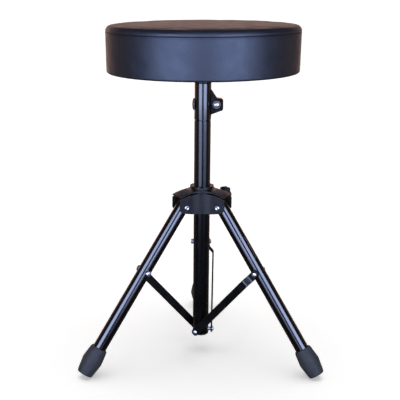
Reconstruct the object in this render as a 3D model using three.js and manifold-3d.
// Drum throne: a round padded seat on a telescoping post, with a folding three-legged base.
// Millimetres, +Z up. The floor is z = 0 and the object is centred over the origin.
// Legs are numbered 1 front right, 2 rear, 3 front left.

import * as THREE from 'three';
import { mergeVertices } from 'three/addons/utils/BufferGeometryUtils.js';
import Module from 'manifold-3d';

const wasm = await Module();
wasm.setup();

// ---------- driving dimensions ----------

const GAP = 0.3;                    // clearance between pieces that touch

const SEAT_RADIUS = 145;
const SEAT_BOTTOM = 456;
const SEAT_SEAM = 514;              // where the top panel meets the side band
const SEAT_RIM = 522.8;             // top of the rounded rim, where the crown starts
const SEAT_TOP = 526;
const SEAT_FLAT_RADIUS = 40;
const SEAT_RIM_ROUND = 5.5;
const SEAT_EDGE_ROUND = 4;
const COVER_THICKNESS = 1.2;
const COVER_TUCK_RADIUS = 118;      // inner edge of the cover where it is stapled under the base
const BASE_RADIUS = 132;
const BASE_THICKNESS = 12;
const DUST_COVER_RADIUS = 124;
const DUST_COVER_THICKNESS = 0.8;
const SEAT_PLATE_SIZE = 150;
const SEAT_PLATE_THICKNESS = 3;
const SEAT_SCREW_SPREAD = 58;       // screw distance from the axis, along X and along Y
const SOCKET_RADIUS = 13;
const SOCKET_FLANGE_RADIUS = 21;
const SOCKET_BOTTOM = 437.3;

const POST_RADIUS = 12.7;
const POST_WALL = 1.2;
const POST_BOTTOM = 31;
const POST_SHOULDER = 381;          // above this the main tube is necked down inside the clamp
const POST_NECK_RADIUS = 11.5;
const POST_NECK_BORE = 10.2;
const POST_TOP = 430;

const INNER_POST_RADIUS = 9.5;
const INNER_POST_WALL = 1.5;
const INNER_POST_BOTTOM = 200;
const GLIDE_HEIGHT = 16;
const BUSH_BOTTOM = 345;
const BUSH_TOP = 372;

const CLAMP_RADIUS = 13;
const CLAMP_TOP = 437;
const CLAMP_SLIT = 2.4;
const CLAMP_EAR_THICKNESS = 4.8;
const CLAMP_BOLT_X = 20.8;
const CLAMP_BOLT_Z = 404.8;
const CLAMP_BOLT_RADIUS = 2.5;
const CLAMP_WASHER_RADIUS = 6;
const CLAMP_EAR_REACH = 10.2;       // from the bolt to the ears' outer edge
const CLAMP_EAR_HALF_HEIGHT = 9.8;
const CLAMP_EAR_CORNER = 4;
const CLAMP_EAR_FOOT = 389;         // where the ears' lower edge meets the ring
const CLAMP_GUSSET_TOP = 427;
const CLAMP_KNOB_RADIUS = 8.6;
const CLAMP_KNOB_LENGTH = 11;
const CLAMP_RIVET_HEAD_RADIUS = 9;

const HUB_BORE = 13.1;
const HUB_COLLAR_RADIUS = 16.8;
const HUB_COLLAR_BOTTOM = 250;
const HUB_COLLAR_TOP = 278;
const HUB_EAR_REACH = 19.3;         // small upright ears on the collar
const HUB_EAR_WIDTH = 6;
const HUB_ARM_REACH = 45.8;
const HUB_ARM_HALF_WIDTH = 13.2;
const HUB_WEB_FILLET = 30;          // fillet between two neighbouring arms
const HUB_PLATE_THICKNESS = 2.6;
const HUB_PLATE_TOP = 268.2;        // top of the arch
const HUB_PLATE_END_TOP = 261.2;    // where the arch meets the plate's ends
const HUB_PLATE_CORNER = 247;       // above this the plate's ends are upright
const HUB_PLATE_HIP = 239.6;        // lower corners, cut from here down to the flat
const HUB_PLATE_BOTTOM = 236.4;
const HUB_PLATE_FLAT = 13;          // half the length of the flat lower edge
const HUB_ROOF = [[19, 272], [24, 271.2], [30, 270.3], [36, 268.9], [42, 267.2], [50, 264.2]];
const HUB_ROOF_THICKNESS = 2.2;
const HUB_KNOB_HEIGHT = 259;
const HUB_KNOB_AZIMUTH = 30;
const HUB_KNOB_RADIUS = 12.5;
const HUB_KNOB_INNER = 34;          // radial places of the knob's two ends
const HUB_KNOB_OUTER = 49;

const LEG_AZIMUTHS = [-30, 90, 210];
const LEG_ANGLE = THREE.MathUtils.degToRad(35);      // from vertical
const LEG_RADIUS = 10.3;
const LEG_WALL = 1.2;
const LEG_PIVOT_REACH = 34.8;
const LEG_PIVOT_HEIGHT = 248.4;
const LEG_ABOVE_PIVOT = 9;
const LEG_TO_BRACE = 116.7;         // from the hub pin to the brace pin, along the leg
const LEG_PIN_HEAD = 4.2;

const FOOT_LENGTH = 45;
const FOOT_END_RADIUS = 12.1;
const FOOT_WAIST_RADIUS = 16;
const FOOT_TOP_RADIUS = 12.9;
const FOOT_SOCKET_DEPTH = 32;
const FOOT_EDGE = 1.2;              // small round at the foot's lower rim
const FOOT_FLAT_DEPTH = 1.6;        // height worn off the foot where it stands

const BRACE_PIVOT_HEIGHT = 35.8;
const BRACE_WIDTH = 12;
const BRACE_THICKNESS = 2.5;
const BRACE_OFFSET_LOW = 15.5;      // inner face of the brace from the leg's plane, at the post
const BRACE_OFFSET_HIGH = 15.6;     // and at the leg

const PIN_RADIUS = 3;
const RIVET_HEAD_RADIUS = 3.9;

// Facets round a full circle.
const PIN_SIDES = 10;
const TUBE_SIDES = 24;
const SEAT_SIDES = 40;

// ---------- derived dimensions ----------

const POST_BORE = POST_RADIUS - POST_WALL;
const PLATE_TOP = SEAT_BOTTOM - DUST_COVER_THICKNESS - 2 * GAP;
const PLATE_BOTTOM = PLATE_TOP - SEAT_PLATE_THICKNESS;
const BASE_BOTTOM = SEAT_BOTTOM + COVER_THICKNESS + GAP;
const BASE_TOP = BASE_BOTTOM + BASE_THICKNESS;

const FOOT_END_HEIGHT = FOOT_END_RADIUS * Math.sin(LEG_ANGLE) - FOOT_FLAT_DEPTH;
const LEG_LENGTH = (LEG_PIVOT_HEIGHT - FOOT_END_HEIGHT) / Math.cos(LEG_ANGLE);
const FOOT_REACH = LEG_PIVOT_REACH + LEG_LENGTH * Math.sin(LEG_ANGLE);

const BRACE_PIN_REACH = LEG_PIVOT_REACH + LEG_TO_BRACE * Math.sin(LEG_ANGLE);
const BRACE_PIN_HEIGHT = LEG_PIVOT_HEIGHT - LEG_TO_BRACE * Math.cos(LEG_ANGLE);
const BRACE_LENGTH = Math.hypot(BRACE_PIN_REACH, BRACE_PIN_HEIGHT - BRACE_PIVOT_HEIGHT);
const BRACE_ANGLE = Math.atan2(BRACE_PIN_REACH, BRACE_PIN_HEIGHT - BRACE_PIVOT_HEIGHT);
const BRACE_SPLAY = Math.asin((BRACE_OFFSET_LOW - BRACE_OFFSET_HIGH) / BRACE_LENGTH);

// The rear foot reaches further than the seat does in front, so the post stands off centre.
const REAR_REACH = FOOT_REACH + FOOT_END_RADIUS * Math.cos(LEG_ANGLE)
  - FOOT_EDGE * Math.sin(LEG_ANGLE);
const POST_Y = (SEAT_RADIUS - REAR_REACH) / 2;

// ---------- materials ----------

const finish = (color, roughness, metalness) =>
  () => new THREE.MeshStandardMaterial({ color, roughness, metalness });

const blackVinyl = finish(0x17171c, 0.5, 0);
const foam = finish(0xd8cfae, 0.95, 0);
const plywood = finish(0xb98e5c, 0.8, 0);
const blackCloth = finish(0x121214, 0.95, 0);
const blackPaint = finish(0x0c0c10, 0.25, 0.3);
const hubPlastic = finish(0x1e1e26, 0.5, 0);
const knobPlastic = finish(0x141416, 0.45, 0);
const nylon = finish(0xe4e2da, 0.6, 0);
const rubber = finish(0x262a34, 0.8, 0);
const zinc = finish(0xd2d4da, 0.25, 1);

// ---------- geometry helpers ----------

function signedVolume(geometry) {
  const position = geometry.attributes.position;
  const index = geometry.index;
  const a = new THREE.Vector3();
  const b = new THREE.Vector3();
  const c = new THREE.Vector3();
  let sum = 0;
  for (let i = 0; i < index.count; i += 3) {
    a.fromBufferAttribute(position, index.getX(i));
    b.fromBufferAttribute(position, index.getX(i + 1));
    c.fromBufferAttribute(position, index.getX(i + 2));
    sum += a.dot(b.cross(c));
  }
  return sum / 6;
}

// Joins the seams of a closed surface and turns its faces outwards.
function closed(geometry) {
  geometry.deleteAttribute('normal');
  geometry.deleteAttribute('uv');
  const merged = mergeVertices(geometry, 1e-4);
  if (signedVolume(merged) < 0) {
    const order = merged.index.array;
    for (let i = 0; i < order.length; i += 3) {
      const first = order[i];
      order[i] = order[i + 2];
      order[i + 2] = first;
    }
  }
  return merged;
}

function solid(geometry) {
  return new wasm.Manifold(new wasm.Mesh({
    numProp: 3,
    vertProperties: Float32Array.from(geometry.attributes.position.array),
    triVerts: Uint32Array.from(geometry.index.array),
  }));
}

function fromSolid(body) {
  const mesh = body.getMesh();
  const geometry = new THREE.BufferGeometry();
  geometry.setAttribute('position', new THREE.BufferAttribute(mesh.vertProperties, 3));
  geometry.setIndex(new THREE.BufferAttribute(mesh.triVerts, 1));
  return geometry;
}

function cut(base, ...tools) {
  return fromSolid(tools.reduce((left, tool) => left.subtract(solid(tool)), solid(base)));
}

function join(base, ...others) {
  return fromSolid(others.reduce((all, other) => all.add(solid(other)), solid(base)));
}

function common(base, other) {
  return fromSolid(solid(base).intersect(solid(other)));
}

// Turned shape about Z. The [radius, z] profile closes on itself or starts and ends on the axis.
function turned(profile, segments = TUBE_SIDES) {
  const points = profile.map(([radius, z]) => new THREE.Vector2(radius, z));
  const geometry = new THREE.LatheGeometry(points, segments);
  geometry.rotateX(Math.PI / 2);
  return closed(geometry);
}

function tube(outer, inner, bottom, top, segments = TUBE_SIDES) {
  return turned([[inner, bottom], [outer, bottom], [outer, top], [inner, top], [inner, bottom]], segments);
}

function disc(radius, bottom, top, segments = TUBE_SIDES) {
  return turned([[0, bottom], [radius, bottom], [radius, top], [0, top]], segments);
}

function box(sizeX, sizeY, sizeZ, x, y, z) {
  return closed(new THREE.BoxGeometry(sizeX, sizeY, sizeZ).translate(x, y, z));
}

// Shape in the XY plane raised from z = bottom to z = top.
function raised(shape, bottom, top, curveSegments = 6) {
  const options = { depth: top - bottom, bevelEnabled: false, curveSegments };
  return closed(new THREE.ExtrudeGeometry(shape, options).translate(0, 0, bottom));
}

// Shape drawn in X and Z, with its thickness between two places on Y.
function upright(shape, fromY, toY, curveSegments = 6) {
  const geometry = raised(shape, -toY, -fromY, curveSegments);
  return geometry.rotateX(Math.PI / 2);
}

const alongX = (geometry) => geometry.rotateY(Math.PI / 2);
const alongY = (geometry) => geometry.rotateX(-Math.PI / 2);

// Rivet or dome profile: a shank from z = tail to 0 and a rounded head above it.
function domedPin(shankRadius, tail, headRadius, headHeight) {
  const profile = [[0, tail], [shankRadius, tail], [shankRadius, 0], [headRadius, 0]];
  const steps = 3;
  for (let i = 1; i <= steps; i += 1) {
    const angle = (i / steps) * Math.PI / 2;
    profile.push([headRadius * Math.cos(angle), headHeight * Math.sin(angle)]);
  }
  profile[profile.length - 1][0] = 0;
  return turned(profile, headRadius > 2 * shankRadius ? 2 * PIN_SIDES : PIN_SIDES);
}

// Round knob with finger lobes, drawn in the XY plane and raised along Z.
function lobedShape(radius, lobes, depth) {
  const points = [];
  const steps = lobes * 6;
  for (let i = 0; i < steps; i += 1) {
    const angle = (i / steps) * 2 * Math.PI;
    const reach = radius - depth * (0.5 - 0.5 * Math.cos(lobes * angle));
    points.push(new THREE.Vector2(reach * Math.cos(angle), reach * Math.sin(angle)));
  }
  return new THREE.Shape(points);
}

function part(parent, name, geometry, material) {
  const mesh = new THREE.Mesh(geometry, material());
  mesh.name = name;
  if (!geometry.attributes.normal) {
    geometry.computeVertexNormals();
  }
  parent.add(mesh);
  return mesh;
}

// ---------- seat ----------

// Right-hand half of the seat's outline, from the tucked edge round to the crown, inset by a depth.
function seatOutline(inset) {
  const points = [];
  const low = SEAT_EDGE_ROUND;
  const centreX = SEAT_RADIUS - 0.7 - low;
  for (let i = 0; i <= 3; i += 1) {
    const angle = (-90 + 30 * i) * Math.PI / 180;
    const reach = low - inset;
    points.push([centreX + reach * Math.cos(angle), SEAT_BOTTOM + low + reach * Math.sin(angle)]);
  }
  const rimX = SEAT_RADIUS - SEAT_RIM_ROUND;
  const rimZ = SEAT_RIM - SEAT_RIM_ROUND;
  const rimReach = SEAT_RIM_ROUND - inset;
  const steps = 4;
  for (let i = 0; i <= steps; i += 1) {
    const angle = (i / steps) * Math.PI / 2;
    points.push([rimX + rimReach * Math.cos(angle), rimZ + rimReach * Math.sin(angle)]);
  }
  const crown = SEAT_TOP - SEAT_RIM;
  const half = (rimX + SEAT_FLAT_RADIUS) / 2;
  points.push([half, SEAT_RIM + 0.72 * crown - inset]);
  points.push([SEAT_FLAT_RADIUS, SEAT_TOP - inset]);
  return points;
}

function addSeatPad(parent) {
  const outer = seatOutline(0);
  const inner = seatOutline(COVER_THICKNESS);
  const shell = [
    [COVER_TUCK_RADIUS, SEAT_BOTTOM],
    ...outer,
    [0, SEAT_TOP],
    [0, SEAT_TOP - COVER_THICKNESS],
    ...inner.reverse(),
    [COVER_TUCK_RADIUS, SEAT_BOTTOM + COVER_THICKNESS],
    [COVER_TUCK_RADIUS, SEAT_BOTTOM],
  ];
  part(parent, 'seat_cover', turned(shell, SEAT_SIDES), blackVinyl);

  const skin = COVER_THICKNESS + GAP;
  const filling = [
    [0, BASE_TOP + GAP],
    [BASE_RADIUS + GAP, BASE_TOP + GAP],
    [BASE_RADIUS + GAP, SEAT_BOTTOM + skin],
    ...seatOutline(skin),
    [0, SEAT_TOP - skin],
  ];
  part(parent, 'foam_pad', turned(filling, SEAT_SIDES), foam);
}

function screwPlaces() {
  const places = [];
  for (const x of [-SEAT_SCREW_SPREAD, SEAT_SCREW_SPREAD]) {
    for (const y of [-SEAT_SCREW_SPREAD, SEAT_SCREW_SPREAD]) {
      places.push([x, y]);
    }
  }
  return places;
}

function addSeatBoards(parent) {
  const screwRadius = 2;
  const holes = screwPlaces().map(([x, y]) =>
    disc(screwRadius + GAP, PLATE_BOTTOM - 1, BASE_TOP - 2, PIN_SIDES).translate(x, y, 0));

  part(parent, 'plywood_base', cut(disc(BASE_RADIUS, BASE_BOTTOM, BASE_TOP, SEAT_SIDES), ...holes), plywood);

  const dustTop = SEAT_BOTTOM - GAP;
  const dustDisc = disc(DUST_COVER_RADIUS, dustTop - DUST_COVER_THICKNESS, dustTop, SEAT_SIDES);
  part(parent, 'dust_cover', cut(dustDisc, ...holes), blackCloth);

  const half = SEAT_PLATE_SIZE / 2;
  const corner = 18;
  const outline = new THREE.Shape();
  outline.moveTo(-half + corner, -half);
  outline.lineTo(half - corner, -half);
  outline.absarc(half - corner, -half + corner, corner, -Math.PI / 2, 0);
  outline.lineTo(half, half - corner);
  outline.absarc(half - corner, half - corner, corner, 0, Math.PI / 2);
  outline.lineTo(-half + corner, half);
  outline.absarc(-half + corner, half - corner, corner, Math.PI / 2, Math.PI);
  outline.lineTo(-half, -half + corner);
  outline.absarc(-half + corner, -half + corner, corner, Math.PI, 1.5 * Math.PI);
  const plate = raised(outline, PLATE_BOTTOM, PLATE_TOP, 4);
  part(parent, 'seat_plate', cut(plate, ...holes), blackPaint);

  const socketTop = PLATE_BOTTOM - GAP;
  const socketBore = INNER_POST_RADIUS + GAP;
  const socket = [
    [socketBore, SOCKET_BOTTOM],
    [SOCKET_RADIUS, SOCKET_BOTTOM],
    [SOCKET_RADIUS, socketTop - 5],
    [SOCKET_FLANGE_RADIUS, socketTop - 2],
    [SOCKET_FLANGE_RADIUS, socketTop],
    [socketBore, socketTop],
    [socketBore, SOCKET_BOTTOM],
  ];
  part(parent, 'seat_socket', turned(socket), blackPaint);

  screwPlaces().forEach(([x, y], index) => {
    const shankLength = BASE_TOP - 3 - (PLATE_BOTTOM - GAP);
    const screw = domedPin(screwRadius, -shankLength, 4.5, 1.8).rotateX(Math.PI);
    part(parent, `seat_screw_${index + 1}`, screw, zinc).position.set(x, y, PLATE_BOTTOM - GAP);
  });
}

// ---------- posts and height clamp ----------

function addInnerPost(parent) {
  const top = PLATE_BOTTOM - 2.6;
  const bore = INNER_POST_RADIUS - INNER_POST_WALL;
  part(parent, 'inner_post', tube(INNER_POST_RADIUS, bore, INNER_POST_BOTTOM, top), zinc);

  const ledge = INNER_POST_BOTTOM - GAP;
  const glideRadius = POST_BORE - GAP;
  const glide = [
    [bore - 1, ledge - 4],
    [glideRadius, ledge - 4],
    [glideRadius, ledge - 4 + GLIDE_HEIGHT],
    [INNER_POST_RADIUS + GAP, ledge - 4 + GLIDE_HEIGHT],
    [INNER_POST_RADIUS + GAP, ledge],
    [bore - 1, ledge],
    [bore - 1, ledge - 4],
  ];
  part(parent, 'post_glide', turned(glide), nylon);
}

function addMainPost(parent) {
  const outline = [
    [POST_BORE, POST_BOTTOM],
    [POST_RADIUS, POST_BOTTOM],
    [POST_RADIUS, POST_SHOULDER - 1],
    [POST_RADIUS - 1, POST_SHOULDER],
    [POST_NECK_RADIUS, POST_SHOULDER],
    [POST_NECK_RADIUS, POST_TOP],
    [POST_NECK_BORE, POST_TOP],
    [POST_NECK_BORE, POST_SHOULDER - 4],
    [POST_BORE, POST_SHOULDER - 6],
    [POST_BORE, POST_BOTTOM],
  ];
  const rivetHole = PIN_RADIUS + GAP;
  const holes = LEG_AZIMUTHS.map((azimuth) => {
    const hole = alongX(disc(rivetHole, POST_BORE - 4, POST_RADIUS + 4, PIN_SIDES));
    return hole.rotateZ(THREE.MathUtils.degToRad(azimuth - 90)).translate(0, 0, BRACE_PIVOT_HEIGHT);
  });
  const collarHole = alongX(disc(rivetHole, -POST_RADIUS, -POST_NECK_BORE + 2, PIN_SIDES));
  collarHole.translate(0, 0, CLAMP_BOLT_Z);
  part(parent, 'main_tube', cut(turned(outline), collarHole, ...holes), blackPaint);

  const bush = tube(POST_BORE - GAP, INNER_POST_RADIUS + GAP, BUSH_BOTTOM, BUSH_TOP);
  part(parent, 'post_bush', bush, nylon);

  const plugTop = BRACE_PIVOT_HEIGHT + 10;
  const plugRadius = POST_BORE - GAP;
  const plug = turned([
    [0, POST_BOTTOM - 5],
    [7, POST_BOTTOM - 4.6],
    [11, POST_BOTTOM - 3.2],
    [POST_RADIUS, POST_BOTTOM - GAP - 0.6],
    [POST_RADIUS, POST_BOTTOM - GAP],
    [plugRadius, POST_BOTTOM - GAP],
    [plugRadius, plugTop],
    [0, plugTop],
  ]);
  part(parent, 'tube_end_plug', cut(plug, ...holes), knobPlastic);
}

// The clamp's ears and the gusset above them, seen from the front.
function clampEar() {
  const root = CLAMP_RADIUS - 0.9;
  const edge = CLAMP_BOLT_X + CLAMP_EAR_REACH;
  const cornerX = edge - CLAMP_EAR_CORNER;
  const cornerZ = CLAMP_EAR_HALF_HEIGHT - CLAMP_EAR_CORNER;
  const ear = new THREE.Shape();
  ear.moveTo(root, CLAMP_EAR_FOOT);
  ear.lineTo(CLAMP_RADIUS + 1, CLAMP_EAR_FOOT + 1);
  ear.lineTo(cornerX, CLAMP_BOLT_Z - CLAMP_EAR_HALF_HEIGHT);
  ear.absarc(cornerX, CLAMP_BOLT_Z - cornerZ, CLAMP_EAR_CORNER, -Math.PI / 2, 0);
  ear.absarc(cornerX, CLAMP_BOLT_Z + cornerZ, CLAMP_EAR_CORNER, 0, Math.PI / 2);
  ear.lineTo(CLAMP_BOLT_X + 0.6, CLAMP_BOLT_Z + CLAMP_EAR_HALF_HEIGHT + 0.6);
  ear.lineTo(CLAMP_RADIUS + 0.6, CLAMP_GUSSET_TOP);
  ear.lineTo(root, CLAMP_GUSSET_TOP);
  return ear;
}

function addHeightClamp(parent) {
  const ring = tube(CLAMP_RADIUS, POST_NECK_RADIUS + GAP, POST_SHOULDER + GAP, CLAMP_TOP);
  const outside = CLAMP_SLIT / 2 + CLAMP_EAR_THICKNESS;
  const boltHole = alongY(disc(CLAMP_BOLT_RADIUS + GAP, -outside - 1, outside + 1, PIN_SIDES));
  boltHole.translate(CLAMP_BOLT_X, 0, CLAMP_BOLT_Z);
  const rivetHole = alongX(disc(PIN_RADIUS + GAP, -CLAMP_RADIUS - 2, -CLAMP_RADIUS + 3, PIN_SIDES));
  rivetHole.translate(0, 0, CLAMP_BOLT_Z);
  const clamp = join(ring, upright(clampEar(), -outside, outside));
  const slitHeight = CLAMP_TOP - POST_SHOULDER + 4;
  const slit = box(24, CLAMP_SLIT, slitHeight, CLAMP_RADIUS + 9, 0, (CLAMP_TOP + POST_SHOULDER) / 2);
  part(parent, 'post_clamp', cut(clamp, slit, boltHole, rivetHole), blackPaint);

  const face = outside + GAP;
  const washer = tube(CLAMP_WASHER_RADIUS, CLAMP_BOLT_RADIUS + GAP, face, face + 1, 16);
  part(parent, 'clamp_washer', alongY(washer).rotateX(Math.PI), zinc)
    .position.set(CLAMP_BOLT_X, 0, CLAMP_BOLT_Z);

  const headFace = face + GAP + 1;
  const tail = -headFace - face - CLAMP_KNOB_LENGTH + 3;
  const bolt = alongY(domedPin(CLAMP_BOLT_RADIUS, tail, RIVET_HEAD_RADIUS, 3)).rotateX(Math.PI);
  part(parent, 'clamp_bolt', bolt, zinc).position.set(CLAMP_BOLT_X, -headFace, CLAMP_BOLT_Z);

  const knobBody = raised(lobedShape(CLAMP_KNOB_RADIUS, 5, 1.4), face, face + CLAMP_KNOB_LENGTH);
  const knobHole = disc(CLAMP_BOLT_RADIUS + GAP, outside, face + CLAMP_KNOB_LENGTH - 2, PIN_SIDES);
  const knob = alongY(cut(knobBody, knobHole));
  part(parent, 'clamp_knob', knob, knobPlastic).position.set(CLAMP_BOLT_X, 0, CLAMP_BOLT_Z);

  const rivet = domedPin(PIN_RADIUS, -2.4, CLAMP_RIVET_HEAD_RADIUS, 3).rotateY(-Math.PI / 2);
  part(parent, 'clamp_rivet', rivet, zinc).position.set(-CLAMP_RADIUS - GAP, 0, CLAMP_BOLT_Z);
}

// ---------- hub ----------

// Plan of the web between two arms, seen from above with the web's middle at +X.
// An inset of 0 is its outer face.
function webCurve(inset) {
  const offset = HUB_ARM_HALF_WIDTH - inset;
  const fillet = HUB_WEB_FILLET + inset;
  const centre = (2 * offset + 2 * fillet) / Math.sqrt(3);
  const points = [];
  const steps = 6;
  for (let i = 0; i <= steps; i += 1) {
    const angle = Math.PI + (i / steps - 0.5) * Math.PI / 3;
    points.push([centre + fillet * Math.cos(angle), fillet * Math.sin(angle)]);
  }
  return points;
}

// Where an arm's side wall ends, at one side (+1 or -1) of a web whose middle is at +X.
function webEnd(side, inset) {
  const offset = HUB_ARM_HALF_WIDTH - inset;
  const reach = HUB_ARM_REACH;
  return [reach / 2 + offset * Math.sqrt(3) / 2, side * (reach * Math.sqrt(3) / 2 - offset / 2)];
}

function webPlan() {
  const outer = [webEnd(1, 0), ...webCurve(0), webEnd(-1, 0)];
  const inner = [webEnd(-1, HUB_PLATE_THICKNESS), ...webCurve(HUB_PLATE_THICKNESS).reverse(),
    webEnd(1, HUB_PLATE_THICKNESS)];
  return new THREE.Shape([...outer, ...inner].map(([x, y]) => new THREE.Vector2(x, y)));
}

// Outline of a hub plate seen square on: arched top, cut lower corners.
function webFace() {
  const half = webEnd(1, 0)[1] + 1;
  const shape = new THREE.Shape();
  const hip = half - 5.5;
  shape.moveTo(-half, HUB_PLATE_END_TOP);
  shape.lineTo(-half, HUB_PLATE_CORNER);
  shape.lineTo(-hip, HUB_PLATE_HIP);
  shape.lineTo(-HUB_PLATE_FLAT, HUB_PLATE_BOTTOM);
  shape.lineTo(HUB_PLATE_FLAT, HUB_PLATE_BOTTOM);
  shape.lineTo(hip, HUB_PLATE_HIP);
  shape.lineTo(half, HUB_PLATE_CORNER);
  shape.lineTo(half, HUB_PLATE_END_TOP);
  shape.quadraticCurveTo(half / 2, HUB_PLATE_TOP, 0, HUB_PLATE_TOP);
  shape.quadraticCurveTo(-half / 2, HUB_PLATE_TOP, -half, HUB_PLATE_END_TOP);
  return shape;
}

function addHubPlates(parent) {
  LEG_AZIMUTHS.forEach((azimuth, index) => {
    const side = new THREE.Group();
    side.rotation.z = THREE.MathUtils.degToRad(azimuth + 60);
    parent.add(side);
    const strip = raised(webPlan(), HUB_PLATE_BOTTOM - 5, HUB_PLATE_TOP + 5);
    const face = upright(webFace(), -60, 60, 4).rotateZ(Math.PI / 2);
    let plate = common(strip, face);
    for (const turn of [-60, 60]) {
      const hole = alongY(disc(PIN_RADIUS + GAP, -20, 20, PIN_SIDES));
      hole.translate(LEG_PIVOT_REACH, 0, LEG_PIVOT_HEIGHT);
      plate = cut(plate, hole.rotateZ(THREE.MathUtils.degToRad(turn)));
    }
    if ((azimuth + 60) % 360 === HUB_KNOB_AZIMUTH) {
      plate = cut(plate, alongX(disc(PIN_RADIUS + GAP, 10, 30, PIN_SIDES)).translate(0, 0, HUB_KNOB_HEIGHT));
    }
    part(side, `hub_plate_${index + 1}`, plate, hubPlastic);
  });
}

function crownPlan() {
  const points = [];
  for (let i = 0; i < 3; i += 1) {
    const turn = (30 + 120 * i) * Math.PI / 180;
    const outline = [webEnd(-1, 0), ...webCurve(0).reverse(), webEnd(1, 0)];
    for (const [x, y] of outline) {
      points.push(new THREE.Vector2(x, y).rotateAround(new THREE.Vector2(), turn));
    }
  }
  return new THREE.Shape(points);
}

function addHubCrown(parent) {
  const roofTop = [[HUB_BORE, HUB_ROOF[0][1] + 0.5], ...HUB_ROOF];
  const underside = roofTop.map(([radius, z]) => [radius, z - HUB_ROOF_THICKNESS]).reverse();
  const cone = turned([...roofTop, ...underside, roofTop[0]]);
  const roof = common(cone, raised(crownPlan(), HUB_COLLAR_BOTTOM, HUB_COLLAR_TOP));
  const collar = tube(HUB_COLLAR_RADIUS, HUB_BORE, HUB_COLLAR_BOTTOM, HUB_COLLAR_TOP);
  const ears = LEG_AZIMUTHS.map((azimuth) => {
    const length = HUB_EAR_REACH - HUB_BORE - 1;
    const ear = box(length, HUB_EAR_WIDTH, 8, HUB_EAR_REACH - length / 2, 0, HUB_COLLAR_TOP - 3);
    return ear.rotateZ(THREE.MathUtils.degToRad(azimuth + 60));
  });
  const studHole = alongX(disc(PIN_RADIUS + GAP, 10, 20, PIN_SIDES)).translate(0, 0, HUB_KNOB_HEIGHT);
  studHole.rotateZ(THREE.MathUtils.degToRad(HUB_KNOB_AZIMUTH));
  const bore = disc(HUB_BORE, HUB_COLLAR_BOTTOM - 1, HUB_COLLAR_TOP + 3);
  const crown = cut(join(collar, roof, ...ears), studHole, bore);
  part(parent, 'hub_crown', crown, hubPlastic);
}

function addHubKnob(parent) {
  const radial = new THREE.Group();
  radial.rotation.z = THREE.MathUtils.degToRad(HUB_KNOB_AZIMUTH);
  parent.add(radial);
  const grip = raised(lobedShape(HUB_KNOB_RADIUS, 6, 2), HUB_KNOB_INNER + 4, HUB_KNOB_OUTER);
  const neck = disc(7, HUB_KNOB_INNER, HUB_KNOB_INNER + 5, 16);
  const hole = disc(PIN_RADIUS + GAP, HUB_KNOB_INNER - 1, HUB_KNOB_OUTER - 4, PIN_SIDES);
  const knob = cut(join(grip, neck), hole);
  part(radial, 'hub_knob', alongX(knob), knobPlastic).position.z = HUB_KNOB_HEIGHT;
  const stud = alongX(disc(PIN_RADIUS, POST_RADIUS + GAP, HUB_KNOB_OUTER - 5, PIN_SIDES));
  part(radial, 'hub_stud', stud, zinc).position.z = HUB_KNOB_HEIGHT;
}

// ---------- legs and braces ----------

function addLeg(parent, number) {
  const leg = new THREE.Group();
  leg.position.set(LEG_PIVOT_REACH, 0, LEG_PIVOT_HEIGHT);
  leg.rotation.y = -LEG_ANGLE;
  parent.add(leg);

  const bore = LEG_RADIUS - LEG_WALL;
  const lowEnd = -LEG_LENGTH + FOOT_LENGTH - FOOT_SOCKET_DEPTH;
  const holes = [0, -LEG_TO_BRACE].map((z) =>
    alongY(disc(PIN_RADIUS + GAP, -LEG_RADIUS - 4, LEG_RADIUS + 4, PIN_SIDES)).translate(0, 0, z));
  const legTube = cut(tube(LEG_RADIUS, bore, lowEnd, LEG_ABOVE_PIVOT, 20), ...holes);
  part(leg, `leg_tube_${number}`, legTube, blackPaint);

  const capFoot = LEG_ABOVE_PIVOT + GAP;
  const cap = turned([
    [0, capFoot - 5],
    [bore - GAP, capFoot - 5],
    [bore - GAP, capFoot],
    [LEG_RADIUS, capFoot],
    [LEG_RADIUS - 0.8, capFoot + 1.6],
    [LEG_RADIUS - 4, capFoot + 2.6],
    [0, capFoot + 2.6],
  ], 16);
  part(leg, `leg_cap_${number}`, cap, knobPlastic);

  const nearFace = BRACE_OFFSET_HIGH - GAP;
  const farFace = LEG_RADIUS + GAP;
  const legPin = alongY(turned([
    [0, -nearFace],
    [5, -nearFace],
    [5, -farFace],
    [PIN_RADIUS, -farFace],
    [PIN_RADIUS, farFace],
    [RIVET_HEAD_RADIUS + 0.6, farFace],
    [RIVET_HEAD_RADIUS, farFace + LEG_PIN_HEAD - 1],
    [RIVET_HEAD_RADIUS - 1.6, farFace + LEG_PIN_HEAD],
    [0, farFace + LEG_PIN_HEAD],
  ], PIN_SIDES));
  part(leg, `leg_pin_${number}`, legPin, zinc).position.z = -LEG_TO_BRACE;

  const footBore = LEG_RADIUS + GAP;
  const foot = turned([
    [0, 0],
    [FOOT_END_RADIUS - 1, 0],
    [FOOT_END_RADIUS, FOOT_EDGE],
    [FOOT_WAIST_RADIUS - 0.5, FOOT_LENGTH / 2 - 2],
    [FOOT_WAIST_RADIUS, FOOT_LENGTH / 2 + 1],
    [FOOT_WAIST_RADIUS - 0.4, FOOT_LENGTH / 2 + 4],
    [FOOT_TOP_RADIUS, FOOT_LENGTH - 1],
    [FOOT_TOP_RADIUS - 0.8, FOOT_LENGTH],
    [footBore, FOOT_LENGTH],
    [footBore, FOOT_LENGTH - FOOT_SOCKET_DEPTH - GAP],
    [0, FOOT_LENGTH - FOOT_SOCKET_DEPTH - GAP],
  ], 20);
  foot.translate(0, 0, -LEG_LENGTH);
  leg.updateMatrix();
  const belowFloor = box(90, 90, 20, FOOT_REACH, 0, -10).applyMatrix4(leg.matrix.clone().invert());
  part(leg, `foot_${number}`, cut(foot, belowFloor), rubber);
}

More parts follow.
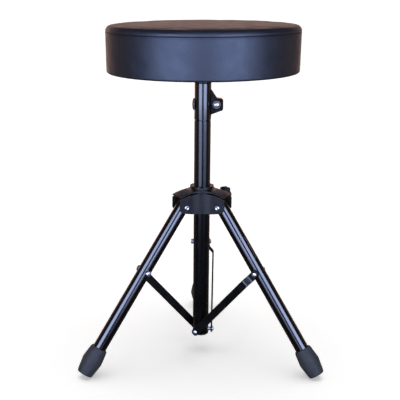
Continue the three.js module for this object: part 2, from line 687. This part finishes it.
function addBrace(parent, number) {
  const brace = new THREE.Group();
  brace.position.z = BRACE_PIVOT_HEIGHT;
  brace.rotation.y = BRACE_ANGLE - Math.PI / 2;
  parent.add(brace);

  const bar = new THREE.Group();
  bar.position.y = -BRACE_OFFSET_LOW;
  bar.rotation.z = BRACE_SPLAY;
  brace.add(bar);

  const end = BRACE_WIDTH / 2;
  const outline = new THREE.Shape();
  outline.absarc(0, 0, end, Math.PI / 2, 1.5 * Math.PI);
  outline.absarc(BRACE_LENGTH, 0, end, -Math.PI / 2, Math.PI / 2);
  const eye = PIN_RADIUS + 2 * GAP;
  for (const x of [0, BRACE_LENGTH]) {
    outline.holes.push(new THREE.Path().absarc(x, 0, eye, 0, 2 * Math.PI, true));
  }
  part(bar, `brace_${number}`, upright(outline, -BRACE_THICKNESS, 0), blackPaint);

  const rivet = domedPin(PIN_RADIUS, -BRACE_THICKNESS, RIVET_HEAD_RADIUS, 2.3);
  part(bar, `brace_rivet_${number}`, alongY(rivet).rotateX(Math.PI), zinc)
    .position.set(BRACE_LENGTH, -BRACE_THICKNESS - GAP, 0);
}

function addPostRivet(parent, number) {
  const headFace = BRACE_OFFSET_LOW + BRACE_THICKNESS + GAP;
  const rivet = domedPin(PIN_RADIUS, -headFace + POST_BORE - 3, RIVET_HEAD_RADIUS, 2);
  part(parent, `post_rivet_${number}`, alongY(rivet).rotateX(Math.PI), zinc)
    .position.set(0, -headFace, BRACE_PIVOT_HEIGHT);
}

function addHubPin(parent, number) {
  const face = HUB_ARM_HALF_WIDTH + GAP;
  const edge = 1.2;
  const head = 2;
  const pin = turned([
    [0, -face - head],
    [RIVET_HEAD_RADIUS - edge, -face - head],
    [RIVET_HEAD_RADIUS, -face - head + edge],
    [RIVET_HEAD_RADIUS, -face],
    [PIN_RADIUS, -face],
    [PIN_RADIUS, face],
    [RIVET_HEAD_RADIUS, face],
    [RIVET_HEAD_RADIUS, face + head - edge],
    [RIVET_HEAD_RADIUS - edge, face + head],
    [0, face + head],
  ], PIN_SIDES);
  part(parent, `hub_pin_${number}`, alongY(pin), zinc)
    .position.set(LEG_PIVOT_REACH, 0, LEG_PIVOT_HEIGHT);
}

// ---------- assembly ----------

const throne = new THREE.Group();
throne.position.y = POST_Y;

addSeatPad(throne);
addSeatBoards(throne);
addInnerPost(throne);
addMainPost(throne);
addHeightClamp(throne);
addHubCrown(throne);
addHubPlates(throne);
addHubKnob(throne);

LEG_AZIMUTHS.forEach((azimuth, index) => {
  const spoke = new THREE.Group();
  spoke.rotation.z = THREE.MathUtils.degToRad(azimuth);
  throne.add(spoke);
  addHubPin(spoke, index + 1);
  addLeg(spoke, index + 1);
  addBrace(spoke, index + 1);
  addPostRivet(spoke, index + 1);
});

export default throne;
